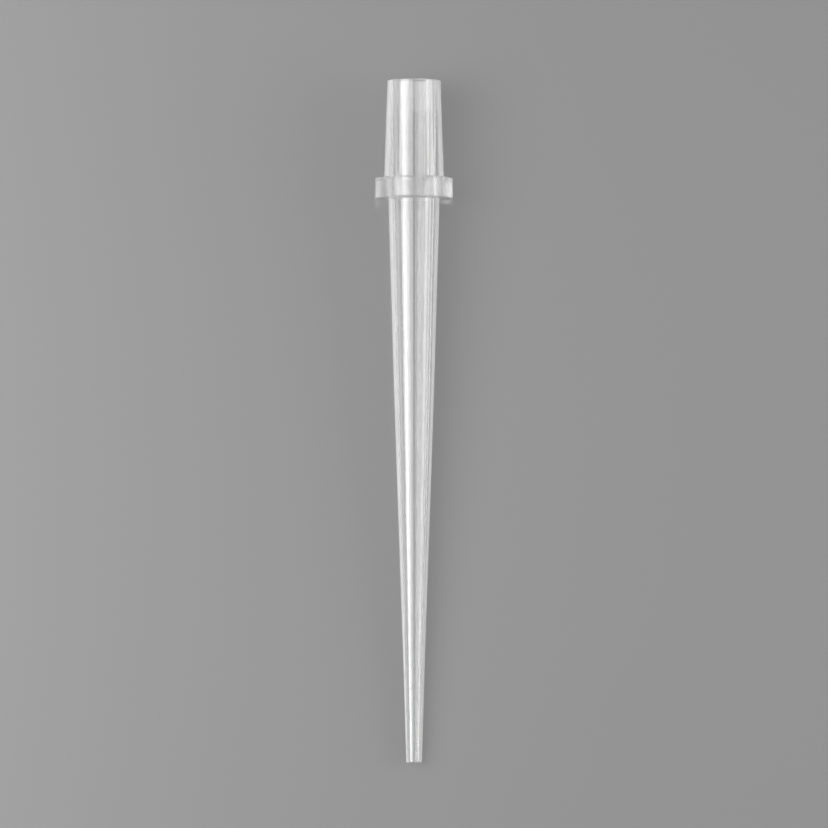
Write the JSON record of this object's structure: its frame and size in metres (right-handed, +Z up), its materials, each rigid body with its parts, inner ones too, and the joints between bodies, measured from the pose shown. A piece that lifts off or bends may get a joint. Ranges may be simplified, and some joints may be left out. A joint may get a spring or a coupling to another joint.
{
  "type": "pipette tip",
  "caption": "Long tapered plastic pipette tip with an open tapered spigot, a round collar and a small open end, moulded in one piece.",
  "frame": {"origin": "on the ground under the middle of the lying tip's box", "axes": "+Z up from the ground that the tip lies on; +Y along the tip towards its mouth, level, with the tip's own axis rising 3.13 degrees towards the mouth; +X across"},
  "size_m": [0.017, 0.1502, 0.0172],
  "materials": {
    "natural_polypropylene": "milky see-through natural polypropylene with a smooth moulded gloss"
  },
  "bodies": {
    "root": {"pipette_tip": "natural_polypropylene"}
  },
  "joints": []
}
